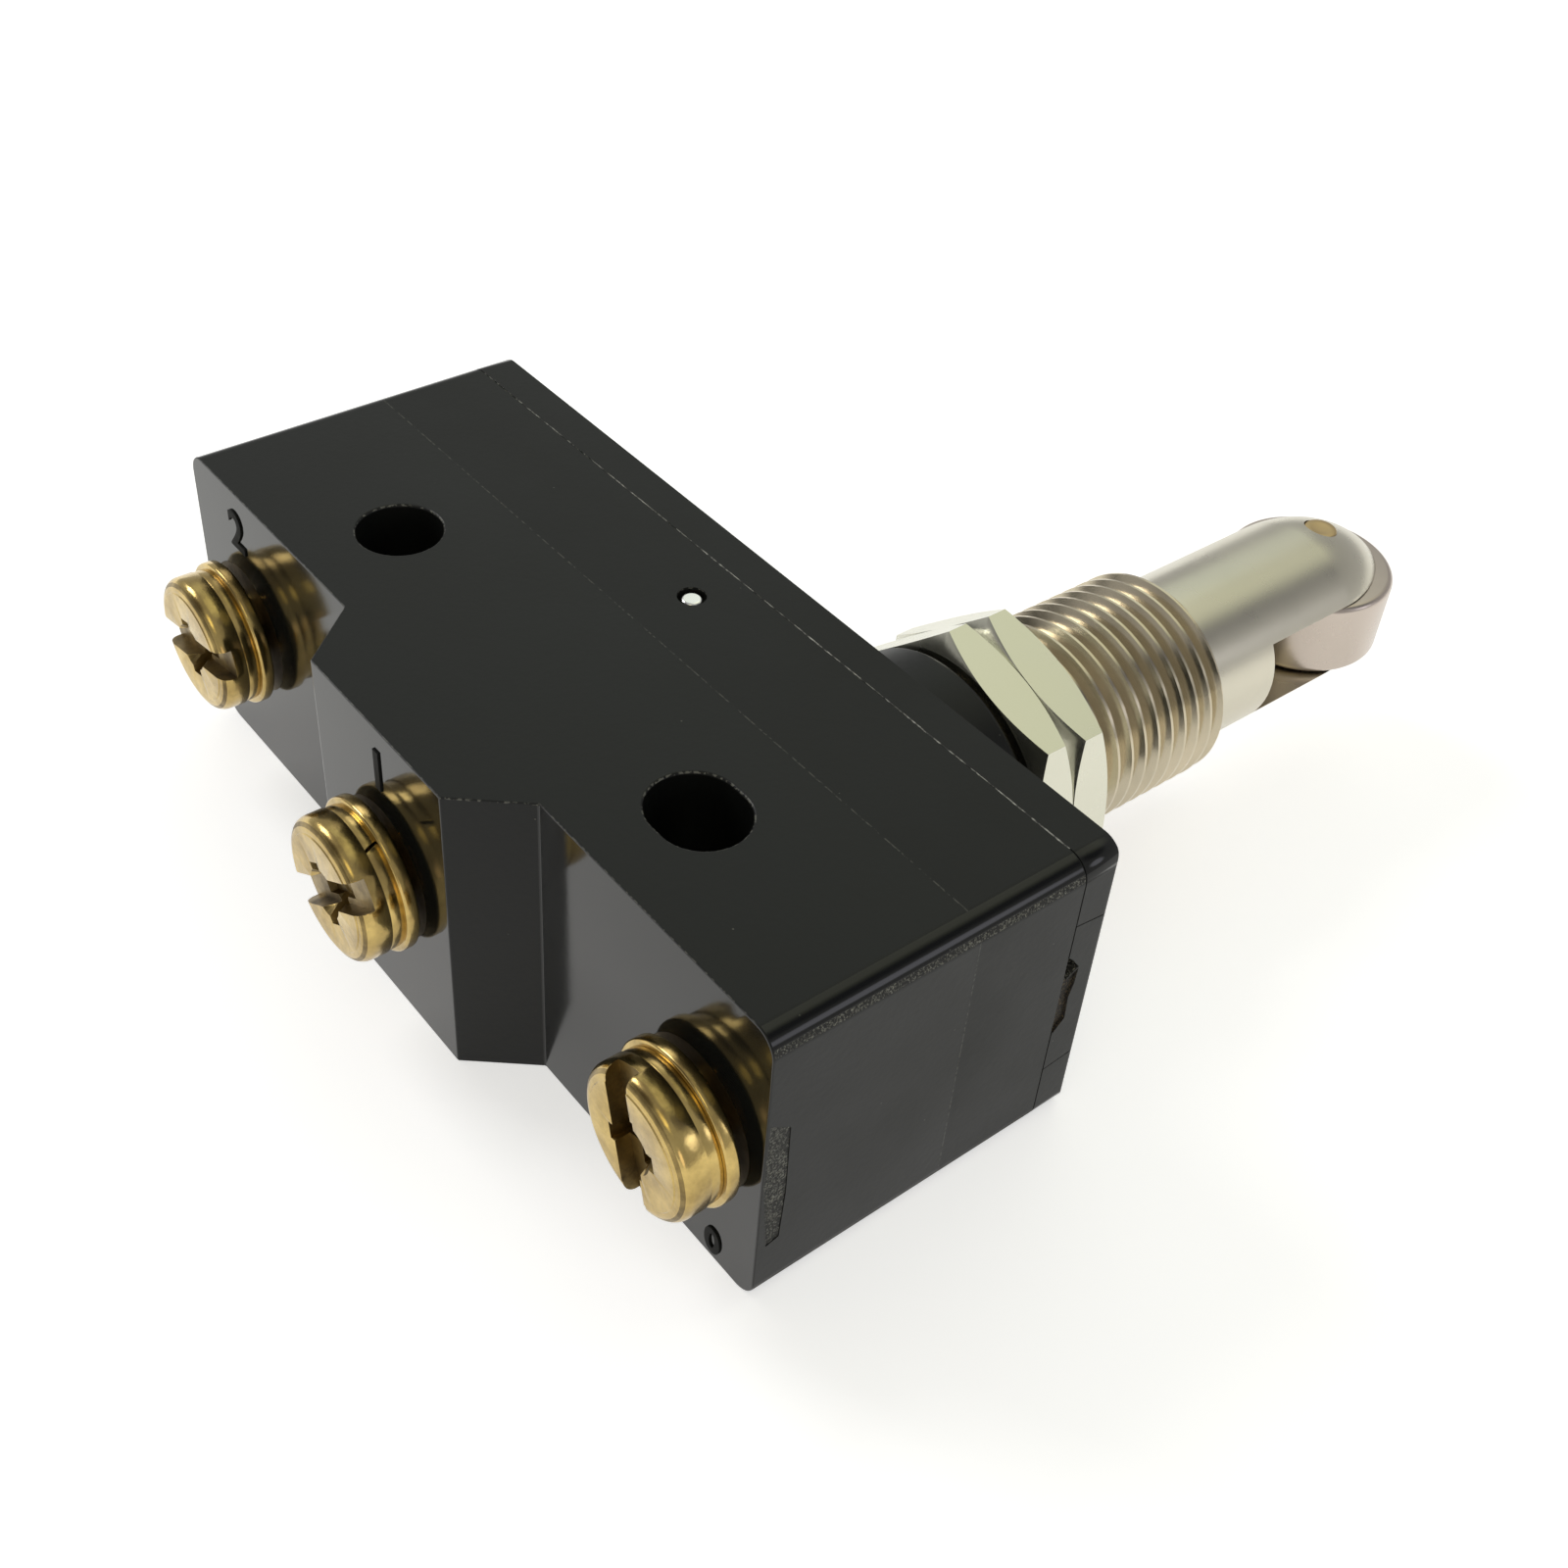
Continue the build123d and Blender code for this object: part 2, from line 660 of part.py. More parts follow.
# Brass terminal screws with rounded heads, a slot and a short cross. Under each head lies a
# split lock washer on a plain one.
for terminal_name, (place, seat, _, gap, slot_turn, split_turn) in terminals.items():
    washer_face = seat - gap - washer_thickness
    head_rear = washer_face - lock_washer_thickness
    head_face = head_rear - screw_head_height
    with BuildPart() as washer:
        with BuildSketch(across(place, washer_face)):
            Circle(washer_diameter / 2)
        extrude(amount=washer_thickness)
        chamfer(edges(), washer_edge)
        with BuildSketch(across(place, washer_face)):
            Circle(screw_diameter / 2 + slide_gap)
        extrude(amount=washer_thickness, mode=Mode.SUBTRACT)
    washer.part.label = f"{terminal_name}_terminal_washer"
    export_step(washer.part, f"parts/{terminal_name}_terminal_washer.step")

    split_middle = (head_rear + washer_face) / 2
    split_plane = Plane(
        origin=(place, split_middle, mid_z),
        x_dir=(0, 1, 0),
        z_dir=(cos(radians(split_turn)), 0, sin(radians(split_turn))),
    )
    with BuildPart() as lock_washer:
        with BuildSketch(across(place, head_rear)):
            Circle(lock_washer_diameter / 2)
            Circle(screw_diameter / 2 + slide_gap, mode=Mode.SUBTRACT)
        extrude(amount=lock_washer_thickness)
        with BuildSketch(split_plane):
            Rectangle(2 * lock_washer_thickness, lock_washer_split, rotation=lock_washer_slant)
        extrude(amount=lock_washer_diameter, mode=Mode.SUBTRACT)
    lock_washer.part.label = f"{terminal_name}_terminal_lock_washer"
    export_step(lock_washer.part, f"parts/{terminal_name}_terminal_lock_washer.step")

    slot_direction = (cos(radians(slot_turn)), 0, sin(radians(slot_turn)))
    head_plane = Plane(origin=(place, head_face, mid_z), x_dir=slot_direction, z_dir=(0, 1, 0))
    with BuildPart() as screw:
        with BuildSketch(across(place, head_face)):
            Circle(screw_head_diameter / 2)
        extrude(amount=screw_head_height)
        fillet(edges().group_by(Axis.Y)[0], screw_head_rounding)
        with BuildSketch(across(place, head_rear)):
            Circle(screw_diameter / 2)
        extrude(amount=screw_length)
        with BuildSketch(head_plane):
            Rectangle(screw_head_diameter, screw_slot_width)
        extrude(amount=screw_slot_depth, mode=Mode.SUBTRACT)
        with BuildSketch(head_plane):
            Rectangle(screw_cross_length, screw_cross_width)
            Rectangle(screw_cross_width, screw_cross_length)
        extrude(amount=screw_cross_depth, mode=Mode.SUBTRACT)
    screw.part.label = f"{terminal_name}_terminal_screw"
    export_step(screw.part, f"parts/{terminal_name}_terminal_screw.step")
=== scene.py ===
import json
from math import cos, pi, radians, sin
from random import Random

import bmesh
import bpy
from mathutils import Matrix, Vector


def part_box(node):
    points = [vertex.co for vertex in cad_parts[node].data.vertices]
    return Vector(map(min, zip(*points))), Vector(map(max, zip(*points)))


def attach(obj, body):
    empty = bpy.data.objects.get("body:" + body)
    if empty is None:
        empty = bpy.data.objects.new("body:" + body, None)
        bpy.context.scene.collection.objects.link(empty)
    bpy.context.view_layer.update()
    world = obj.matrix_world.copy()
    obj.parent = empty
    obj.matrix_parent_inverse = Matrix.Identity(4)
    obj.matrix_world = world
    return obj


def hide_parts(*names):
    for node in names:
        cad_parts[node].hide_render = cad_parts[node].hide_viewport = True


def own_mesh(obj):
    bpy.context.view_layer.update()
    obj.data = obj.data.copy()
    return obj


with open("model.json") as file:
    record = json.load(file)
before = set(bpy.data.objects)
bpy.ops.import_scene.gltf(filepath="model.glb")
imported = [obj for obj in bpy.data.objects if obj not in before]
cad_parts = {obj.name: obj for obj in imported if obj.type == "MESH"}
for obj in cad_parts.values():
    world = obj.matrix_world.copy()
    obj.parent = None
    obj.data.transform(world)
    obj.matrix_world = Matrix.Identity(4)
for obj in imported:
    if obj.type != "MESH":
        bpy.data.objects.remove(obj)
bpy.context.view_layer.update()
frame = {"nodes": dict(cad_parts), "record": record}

# Case. Black phenolic, pressed in a hot mould and used as it comes out: satin on the broad
# faces, glossy on the seats of the terminals. Two mounting holes go through it, and a chamber
# for the mechanism opens towards the cover.
MM = 0.001


def corners(node):
    """Lowest and highest corner of a CAD node, in millimetres."""
    low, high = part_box(node)
    return low / MM, high / MM


case_low, case_high = corners("case")
mid_z = case_high.z / 2
seam_y = case_high.y
shelf_y = corners("common_terminal")[0].y
holes = {m["name"]: Vector(m["pos_m"]) / MM for m in frame["record"]["mounts"]}
edge_softness = 0.09
end_rounding = 1.2
block_crest = 5.75
block_foot = 8.5
hole_radius = 2.2
slot_stretch = 0.35
rim_flare = 0.16
chamber = {"floor": 4.0, "half": 21.5, "width": 11.65}
post_radius = 3.72
post_depths = {"common": 5.45, "normally_open": 5.75, "normally_closed": 5.45}
strip_slot = (0.8, 5.0)
parting_y = 5.55
pin_y = 9.0
pin_hole = 0.6
pin_mouth = 0.75
pin_recess = 0.5


def extruded(outline, push):
    """Solid made by pushing an outline along a vector."""
    solid = bmesh.new()
    face = solid.faces.new([solid.verts.new(point) for point in outline])
    pushed = bmesh.ops.extrude_face_region(solid, geom=[face], use_keep_orig=True)
    moved = [item for item in pushed["geom"] if isinstance(item, bmesh.types.BMVert)]
    bmesh.ops.translate(solid, verts=moved, vec=push)
    bmesh.ops.recalc_face_normals(solid, faces=solid.faces)
    return solid


def block(low, high):
    """Square-edged block between two corners."""
    low, high = Vector(low), Vector(high)
    outline = [(low.x, low.y, low.z), (high.x, low.y, low.z), (high.x, high.y, low.z), (low.x, high.y, low.z)]
    return extruded(outline, (0, 0, high.z - low.z))


def turned(profile, centre, axis, steps=96):
    """Solid turned round an axis. The profile's corners are (radius, distance along the axis)."""
    solid = bmesh.new()
    centre, axis = Vector(centre), Vector(axis)
    side = axis.orthogonal().normalized()
    ring = [solid.verts.new(centre + axis * along + side * radius) for radius, along in profile]
    edges = [solid.edges.new(pair) for pair in zip(ring, ring[1:])]
    if profile[0][0] > 0:
        edges.append(solid.edges.new((ring[-1], ring[0])))
    bmesh.ops.spin(
        solid, geom=ring + edges, cent=centre, axis=axis, angle=2 * pi, steps=steps, use_merge=True
    )
    bmesh.ops.remove_doubles(solid, verts=solid.verts, dist=0.001)
    bmesh.ops.recalc_face_normals(solid, faces=solid.faces)
    return solid


def plain_rod(radius, start, stop, centre, axis, steps=96):
    """Round bar between two distances along an axis."""
    return turned([(0, start), (radius, start), (radius, stop), (0, stop)], centre, axis, steps)


def quarter(radius, along, size, start, stop, count=6):
    """Profile corners of an arc, from one angle to another, round a (radius, along) centre."""
    angles = [radians(start + (stop - start) * step / count) for step in range(count + 1)]
    return [(radius + size * cos(angle), along + size * sin(angle)) for angle in angles]


def soften(solid, size, segments=2, sharper_than=35):
    """Rounds every edge whose faces meet more sharply than an angle."""
    sharp = [e for e in solid.edges if e.is_manifold and e.calc_face_angle() > radians(sharper_than)]
    bmesh.ops.bevel(
        solid, geom=sharp, affect="EDGES", offset=size, segments=segments, profile=0.5,
        material=-1, clamp_overlap=True,
    )


def carve(body, *tools, operation="DIFFERENCE"):
    """Cuts the tools out of a solid, or joins or intersects it with them. Uses the tools up."""
    holders = []
    for solid in (body, *tools):
        holder = bpy.data.objects.new("carved", bpy.data.meshes.new("carved"))
        solid.to_mesh(holder.data)
        solid.clear()
        bpy.context.scene.collection.objects.link(holder)
        holders.append(holder)
    for holder in holders[1:]:
        cut = holders[0].modifiers.new("Cut", "BOOLEAN")
        cut.object = holder
        cut.operation = operation
        cut.solver = "EXACT"
    result = holders[0].evaluated_get(bpy.context.evaluated_depsgraph_get())
    body.from_mesh(result.to_mesh())
    result.to_mesh_clear()
    for holder in holders:
        mesh = holder.data
        bpy.data.objects.remove(holder)
        bpy.data.meshes.remove(mesh)
    bmesh.ops.remove_doubles(body, verts=body.verts, dist=0.0005)
    return body


def make_piece(name, solid, materials, body, slot, *nodes, sharp=32):
    """Makes a piece, in metres, of a solid in millimetres, and sets it in place of CAD nodes."""
    bmesh.ops.scale(solid, verts=solid.verts, vec=(MM, MM, MM))
    mesh = bpy.data.meshes.new(name)
    solid.to_mesh(mesh)
    solid.free()
    mesh.shade_smooth()
    mesh.set_sharp_from_angle(angle=radians(sharp))
    for material in materials:
        mesh.materials.append(material)
    piece = bpy.data.objects.new(name, mesh)
    bpy.context.scene.collection.objects.link(piece)
    evened = piece.modifiers.new("Even faces", "WEIGHTED_NORMAL")
    evened.keep_sharp = True
    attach(piece, body)
    if nodes:
        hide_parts(*nodes)
    return piece


def new_material(name):
    """Empty material with its shader, and a function that adds a node and sets its sockets."""
    material = bpy.data.materials.new(name)
    material.use_nodes = True
    tree = material.node_tree
    shader = tree.nodes["Principled BSDF"]

    def add(kind, inputs=None, **settings):
        node = tree.nodes.new("ShaderNode" + kind)
        for key, value in settings.items():
            setattr(node, key, value)
        for key, value in (inputs or {}).items():
            if isinstance(value, bpy.types.NodeSocket):
                tree.links.new(value, node.inputs[key])
            else:
                node.inputs[key].default_value = value
        return node

    def wire(key, value):
        tree.links.new(value, shader.inputs[key])

    return material, shader, add, wire


def ramp(add, factor, low, high, start=0.3, end=0.7):
    """Colours a value from one colour to another between two stops."""
    node = add("ValToRGB", {"Fac": factor})
    for stop, place, colour in zip(node.color_ramp.elements, (start, end), (low, high)):
        stop.position = place
        stop.color = (*colour, 1)
    return node.outputs["Color"]


def spread(add, factor, low, high, start=0.3, end=0.7):
    """Maps a value to a range, and stops at its ends."""
    node = add(
        "MapRange",
        {"Value": factor, "From Min": start, "From Max": end, "To Min": low, "To Max": high},
    )
    return node.outputs["Result"]


def combine(add, operation, first, second):
    """One step of arithmetic on two values."""
    return add("Math", {0: first, 1: second}, operation=operation).outputs[0]


def phenolic(name, smooth, rough, grain, shine, worn=False):
    """Black moulding with cloudy gloss, fine pits and dust. Worn, it has pale flecks along its
    sharp top edges, and the line where the halves of its mould met."""
    material, shader, add, wire = new_material(name)
    shader.inputs["Specular IOR Level"].default_value = shine
    place = add("TexCoord").outputs["Object"]
    clouds = add("TexNoise", {"Vector": place, "Scale": 90, "Detail": 5, "Roughness": 0.6}).outputs["Fac"]
    fine = add("TexNoise", {"Vector": place, "Scale": 2600, "Detail": 3}).outputs["Fac"]
    specks = add("TexVoronoi", {"Vector": place, "Scale": 520}).outputs["Distance"]
    pale = spread(add, specks, 0.6, 0, 0.012, 0.03)
    gloss = spread(add, clouds, smooth, rough)
    if worn:
        axes = add("SeparateXYZ", {"Vector": place}).outputs
        crumbs = add("TexNoise", {"Vector": place, "Scale": 4200, "Detail": 4}).outputs["Fac"]
        far_half = spread(add, axes["Y"], 0, 1, (parting_y - 0.15) * MM, (parting_y + 0.15) * MM)
        gloss = combine(add, "ADD", gloss, combine(add, "MULTIPLY", far_half, 0.06))
        off_line = combine(add, "ABSOLUTE", combine(add, "SUBTRACT", axes["Y"], parting_y * MM), 0)
        line = spread(add, off_line, 1, 0, 0.01 * MM, 0.05 * MM)
        line = combine(add, "MULTIPLY", line, spread(add, crumbs, 0, 0.5, 0.45, 0.6))
        off_edge = combine(add, "SUBTRACT", axes["Z"], (case_high.z - 0.05) * MM)
        edge = spread(add, combine(add, "ABSOLUTE", off_edge, 0), 1, 0, 0.02 * MM, 0.045 * MM)
        edge = combine(add, "MULTIPLY", edge, spread(add, crumbs, 0, 1, 0.5, 0.58))
        from_end = combine(add, "ABSOLUTE", axes["X"], 0)
        inner = spread(add, from_end, 1, 0, (case_high.x - 1.4) * MM, (case_high.x - 1.25) * MM)
        edge = combine(add, "MULTIPLY", edge, inner)
        pale = combine(add, "MAXIMUM", pale, combine(add, "MAXIMUM", line, edge))
    body = ramp(add, clouds, (0.006, 0.0065, 0.006), (0.009, 0.0095, 0.008))
    tinted = add("Mix", {"Factor": pale, "A": body, "B": (0.13, 0.13, 0.11, 1)}, data_type="RGBA")
    wire("Base Color", tinted.outputs["Result"])
    wire("Roughness", gloss)
    bump = add("Bump", {"Strength": grain, "Distance": 0.00002, "Height": fine})
    wire("Normal", bump.outputs["Normal"])
    return material


satin_phenolic = phenolic("satin phenolic", 0.32, 0.44, 0.35, 0.23, worn=True)
glossy_phenolic = phenolic("glossy phenolic", 0.06, 0.13, 0.06, 0.36)


def broken_phenolic(name, dark, light):
    """Torn surface of the moulding, where its filler shows."""
    material, shader, add, wire = new_material(name)
    place = add("TexCoord").outputs["Object"]
    crumbs = add("TexNoise", {"Vector": place, "Scale": 9000, "Detail": 5, "Roughness": 0.75}).outputs["Fac"]
    wire("Base Color", ramp(add, crumbs, dark, light, 0.5, 0.66))
    shader.inputs["Roughness"].default_value = 0.75
    bump = add("Bump", {"Strength": 0.8, "Distance": 0.00005, "Height": crumbs})
    wire("Normal", bump.outputs["Normal"])
    return material


torn_black = broken_phenolic("torn black phenolic", (0.010, 0.010, 0.009), (0.32, 0.32, 0.27))
torn_brown = broken_phenolic("torn brown phenolic", (0.008, 0.006, 0.004), (0.16, 0.12, 0.06))

case = extruded(
    [
        (case_low.x, shelf_y, 0),
        (-block_foot, shelf_y, 0),
        (-block_crest, case_low.y, 0),
        (block_crest, case_low.y, 0),
        (block_foot, shelf_y, 0),
        (case_high.x, shelf_y, 0),
        (case_high.x, seam_y, 0),
        (case_low.x, seam_y, 0),
    ],
    (0, 0, case_high.z),
)


def round_ends(solid, size):
    """Rounds the long edges at both ends of a moulding."""
    ends = [
        edge for edge in solid.edges
        if all(abs(vert.co.x) > case_high.x - size for vert in edge.verts)
        and abs((edge.verts[0].co - edge.verts[1].co).y) > size
    ]
    bmesh.ops.bevel(
        solid, geom=ends, affect="EDGES", offset=size, segments=10, profile=0.5, material=-1
    )


round_ends(case, end_rounding)
soften(case, edge_softness)


def flared_hole(x, y, radius, flare, stretch=0.0):
    """Cutter for a moulded through hole with rounded rims, stretched along the case if slotted."""
    beyond = 1.0
    low = quarter(radius + flare, flare, flare, 270, 180)
    high = quarter(radius + flare, case_high.z - flare, flare, 180, 90)
    outer = radius + flare
    top = case_high.z + beyond
    profile = [(0, -beyond), (outer, -beyond), *low, *high, (outer, top), (0, top)]
    cutter = turned(profile, (x, y, 0), (0, 0, 1), steps=72)
    for vert in cutter.verts:
        offset = vert.co.x - x
        if abs(offset) > 0.01:
            vert.co.x += stretch if offset > 0 else -stretch
    return cutter


tools = [
    flared_hole(holes["mounting_hole"].x, 0, hole_radius, rim_flare),
    flared_hole(holes["mounting_slot"].x, 0, hole_radius, rim_flare, slot_stretch),
    block(
        (-chamber["half"], chamber["floor"], mid_z - chamber["width"] / 2),
        (chamber["half"], seam_y + 1, mid_z + chamber["width"] / 2),
    ),
    plain_rod(pin_hole, -1, case_high.z + 1, (0, pin_y, 0), (0, 0, 1), 32),
]
for start, stop in ((-1, pin_recess), (case_high.z - pin_recess, case_high.z + 1)):
    tools.append(plain_rod(pin_mouth, start, stop, (0, pin_y, 0), (0, 0, 1), 48))
terminals = {}
for who, depth in post_depths.items():
    seat = corners(f"{who}_terminal")[0].y
    x = (corners(f"{who}_terminal_screw")[0].x + corners(f"{who}_terminal_screw")[1].x) / 2
    terminals[who] = Vector((x, seat, mid_z))
    tools.append(plain_rod(post_radius, -1, depth, terminals[who], (0, 1, 0), 64))
    reach = Vector((strip_slot[0] / 2, 0, strip_slot[1] / 2))
    to_chamber = Vector((0, chamber["floor"] - seat + 1, 0))
    tools.append(block(terminals[who] - reach, terminals[who] + reach + to_chamber))
end_x = case_high.x


def end_prism(outline, depth):
    """Cutter for the near end, pushed in from outside. The outline's corners are (y, z)."""
    return extruded([(end_x + 1, y, z) for y, z in outline], (-1 - depth, 0, 0))


# Scar of the gate, where the runner was snapped off one corner
gate_scar = [(-5.25, 12.2), (-4.15, 11.4), (-4.05, 7.0), (-4.2, 3.9), (-4.9, 3.7), (-5.35, 8.4)]
scar_depth = 0.05
tools.append(end_prism(gate_scar, scar_depth))
carve(case, *tools)


def is_end_rounding(face):
    """Whether a face lies on the rounded long edges at the ends, where the mould is polished."""
    return abs(face.normal.y) < 0.3 and 0.08 < abs(face.normal.z) < 0.995 and abs(face.normal.x) > 0.08


# The mould is polished where the terminals sit, and along its rounded ends
for face in case.faces:
    middle = face.calc_center_median()
    if face.normal.y < -0.8 and middle.y < shelf_y + 0.5:
        face.material_index = 1
    if is_end_rounding(face) and abs(middle.x) > case_high.x - end_rounding:
        face.material_index = 1
    if face.normal.x > 0.9 and middle.x < end_x - scar_depth / 2 and middle.x > end_x - 2 * scar_depth:
        face.material_index = 2
make_piece(
    "case_moulding", case, [satin_phenolic, glossy_phenolic, torn_black], "housing", "phenolic", "case"
)


# Cover. The same phenolic, pressed as a plate with a round boss for the bushing, a guide below
# it for the pin plunger, and two lugs that the cross pin goes through.
cover_low, cover_high = corners("cover")
plunger_x = holes["bushing_thread"].x
face_y = 13.9
corner_rounding = 0.4
boss_radius = 7.1
boss_rounding = 0.35
socket_radius = 5.92
guide_top = 11.9
guide_hole = 1.65
lug = {"half": 2.0, "foot": 7.9, "inner": 3.5, "outer": 5.725}

cover = block((cover_low.x, seam_y, 0), (cover_high.x, face_y, case_high.z))
outer_corners = [
    edge for edge in cover.edges
    if all(vert.co.y > face_y - 0.01 for vert in edge.verts)
    and abs((edge.verts[0].co - edge.verts[1].co).z) > 1
]
bmesh.ops.bevel(
    cover, geom=outer_corners, affect="EDGES", offset=corner_rounding, segments=10, profile=0.5, material=-1
)
ends = block((cover_low.x, seam_y - 1, 0), (cover_high.x, face_y + 1, case_high.z))
round_ends(ends, end_rounding)
carve(cover, ends, operation="INTERSECT")
soften(cover, edge_softness)
boss = turned(
    [
        (0, cover_low.y),
        (boss_radius, cover_low.y),
        *quarter(boss_radius - boss_rounding, cover_high.y - boss_rounding, boss_rounding, 0, 90),
        (0, cover_high.y),
    ],
    (plunger_x, 0, mid_z),
    (0, 1, 0),
    steps=144,
)
slip = block(
    (plunger_x - 9, cover_low.y - 1, mid_z - lug["outer"]),
    (plunger_x + 9, seam_y, mid_z + lug["outer"]),
)
above = block((plunger_x - 9, seam_y, mid_z - 9), (plunger_x + 9, cover_high.y + 1, mid_z + 9))
carve(slip, above, operation="UNION")
carve(boss, slip, operation="INTERSECT")
lugs = [
    block((-lug["half"], lug["foot"], mid_z + low), (lug["half"], seam_y + 1, mid_z + high))
    for low, high in ((-lug["outer"], -lug["inner"]), (lug["inner"], lug["outer"]))
]
carve(cover, boss, *lugs, operation="UNION")
carve(
    cover,
    plain_rod(socket_radius, guide_top, 20, (plunger_x, 0, mid_z), (0, 1, 0)),
    plain_rod(guide_hole, 5, 13, (plunger_x, 0, mid_z), (0, 1, 0), 48),
    plain_rod(pin_hole, -1, 20, (0, pin_y, 0), (0, 0, 1), 32),
)
# The cover's edge is chipped at the near end, deep beside the seam and shallow next to it
chip = [
    (11.6, 11.85), (12.15, 11.3), (12.65, 10.6), (12.2, 10.35), (11.95, 10.2), (12.0, 9.4), (11.95, 8.1),
    (11.4, 8.6), (11.4, 10.4),
]
tear = [
    (12.65, 10.5), (12.6, 9.5), (12.4, 8.7), (12.5, 7.2), (11.85, 6.5), (11.5, 8.0), (11.5, 9.8),
    (12.2, 10.3),
]
chip_depth = 0.9
tear_depth = 0.18
tab_line = [(11.7, 13.66), (13.95, 13.36), (13.95, 13.42), (11.7, 13.72)]
lower_tab_line = [(11.7, 3.92), (13.95, 4.14), (13.95, 4.2), (11.7, 3.98)]
line_depth = 0.05
carve(
    cover,
    end_prism(tear, tear_depth),
    end_prism(chip, chip_depth),
    end_prism(tab_line, line_depth),
    end_prism(lower_tab_line, line_depth),
)
for face in cover.faces:
    middle = face.calc_center_median()
    if middle.x < end_x - tear_depth / 3 and middle.x > end_x - chip_depth - 0.05 and 6 < middle.z < 12:
        if 11.3 < middle.y < 12.8:
            face.material_index = 1 if middle.x > end_x - 2 * tear_depth else 2
    if is_end_rounding(face) and abs(middle.x) > case_high.x - end_rounding:
        face.material_index = 3
make_piece(
    "cover_moulding", cover, [satin_phenolic, torn_brown, torn_black, glossy_phenolic],
    "housing", "phenolic", "cover",
)

# Flash along the seam: a ragged thread of pale filler, squeezed out when the halves were pressed
# together. It lies in the groove between them and thins out towards the far end.
flash_steps = 420
flash_low = 0.004
flash_depth = 0.05
flash_gap = 1.3
rng = Random(5)
near_side, far_side = [], []
for step in range(flash_steps + 1):
    share = step / flash_steps
    x = case_low.x + flash_gap + share * (case_high.x - case_low.x - 2 * flash_gap)
    wander = 0.02 * sin(37 * share) + rng.uniform(-0.012, 0.012)
    width = 0.012 + 0.045 * share * (0.3 + rng.random())
    near_side.append((x, seam_y + wander - width, case_high.z - flash_low))
    far_side.append((x, seam_y + wander + width, case_high.z - flash_low))
flash = extruded(near_side + far_side[::-1], (0, 0, -flash_depth))
pale_filler, filler_shader, add, wire = new_material("pale filler")
place = add("TexCoord").outputs["Object"]
crumbs = add("TexNoise", {"Vector": place, "Scale": 2400, "Detail": 4}).outputs["Fac"]
wire("Base Color", ramp(add, crumbs, (0.03, 0.03, 0.028), (0.42, 0.42, 0.38), 0.42, 0.6))
filler_shader.inputs["Roughness"].default_value = 0.7
make_piece("seam_flash", flash, [pale_filler], "housing", "phenolic")


# Cross pin. A short steel pin, pressed through case and cover, whose bright domed end shows in
# the mouth of its hole.
def steel(name, light, dark, smooth, rough, scratches=0.1):
    """Bare or plated steel with a faint turned grain and cloudy gloss."""
    material, shader, add, wire = new_material(name)
    shader.inputs["Metallic"].default_value = 1.0
    place = add("TexCoord").outputs["Object"]
    clouds = add("TexNoise", {"Vector": place, "Scale": 160, "Detail": 4, "Roughness": 0.6}).outputs["Fac"]
    grain = add("TexNoise", {"Vector": place, "Scale": 4000, "Detail": 2}).outputs["Fac"]
    wire("Base Color", ramp(add, clouds, dark, light))
    wire("Roughness", spread(add, clouds, smooth, rough))
    bump = add("Bump", {"Strength": scratches, "Distance": 0.00001, "Height": grain})
    wire("Normal", bump.outputs["Normal"])
    return material


pin_low, pin_high = corners("cover_pin")
pin_radius = (pin_high.x - pin_low.x) / 2
pin_dome = 0.2
pin_depth = 0.12
pin = turned(
    [
        (0, pin_depth),
        *quarter(pin_radius - pin_dome, pin_depth + pin_dome, pin_dome, 270, 360),
        *quarter(pin_radius - pin_dome, case_high.z - pin_depth - pin_dome, pin_dome, 0, 90),
        (0, case_high.z - pin_depth),
    ],
    (0, pin_y, 0),
    (0, 0, 1),
    steps=48,
)
pin_steel = steel("pin steel", (0.93, 0.93, 0.91), (0.85, 0.85, 0.83), 0.12, 0.2)
make_piece("cross_pin", pin, [pin_steel], "housing", "pin_steel", "cover_pin")


# Bushing. Turned brass with a fine thread of 1 mm pitch, nickel plated, pressed into the boss.
bushing_low, bushing_high = corners("threaded_bushing")
boss_face = cover_high.y
crest = (bushing_high.x - bushing_low.x) / 2
thread_depth = 0.55
pitch = 1.0
crest_phase = 0.8
thread_chamfer = 0.5
stop_radius = 5.35
stop_y = 17.5
bore = 4.9


def threaded_rod(centre, crest, depth, pitch, start, stop, phase, steps=64):
    """Rod along Y with a helical thread, cut square at both ends."""
    solid = bmesh.new()
    flat = 0.08 * pitch
    first = start - 2 * pitch + phase
    tooth = [
        (crest - depth, -pitch / 2),
        (crest - depth, -pitch / 2 + flat),
        (crest, -flat),
        (crest, flat),
        (crest - depth, pitch / 2),
    ]
    ring = [solid.verts.new(centre + Vector((radius, first + along, 0))) for radius, along in tooth]
    edges = [solid.edges.new(pair) for pair in zip(ring, ring[1:])]
    turns = int((stop - start) / pitch) + 4
    bmesh.ops.spin(
        solid, geom=ring + edges, cent=centre, axis=(0, 1, 0), dvec=(0, pitch / steps, 0),
        angle=2 * pi * turns, steps=steps * turns,
    )
    bmesh.ops.remove_doubles(solid, verts=solid.verts, dist=0.01)
    for place, beyond in ((start, "clear_inner"), (stop, "clear_outer")):
        bmesh.ops.bisect_plane(
            solid, geom=solid.verts[:] + solid.edges[:] + solid.faces[:],
            plane_co=centre + Vector((0, place, 0)), plane_no=(0, 1, 0), **{beyond: True},
        )
    bmesh.ops.holes_fill(solid, edges=solid.edges)
    bmesh.ops.recalc_face_normals(solid, faces=solid.faces)
    return solid


def plated(name, light, dark, smooth, rough):
    """Nickel plate: a warm white metal, a little cloudy, with fine tool marks."""
    return steel(name, light, dark, smooth, rough, 0.15)


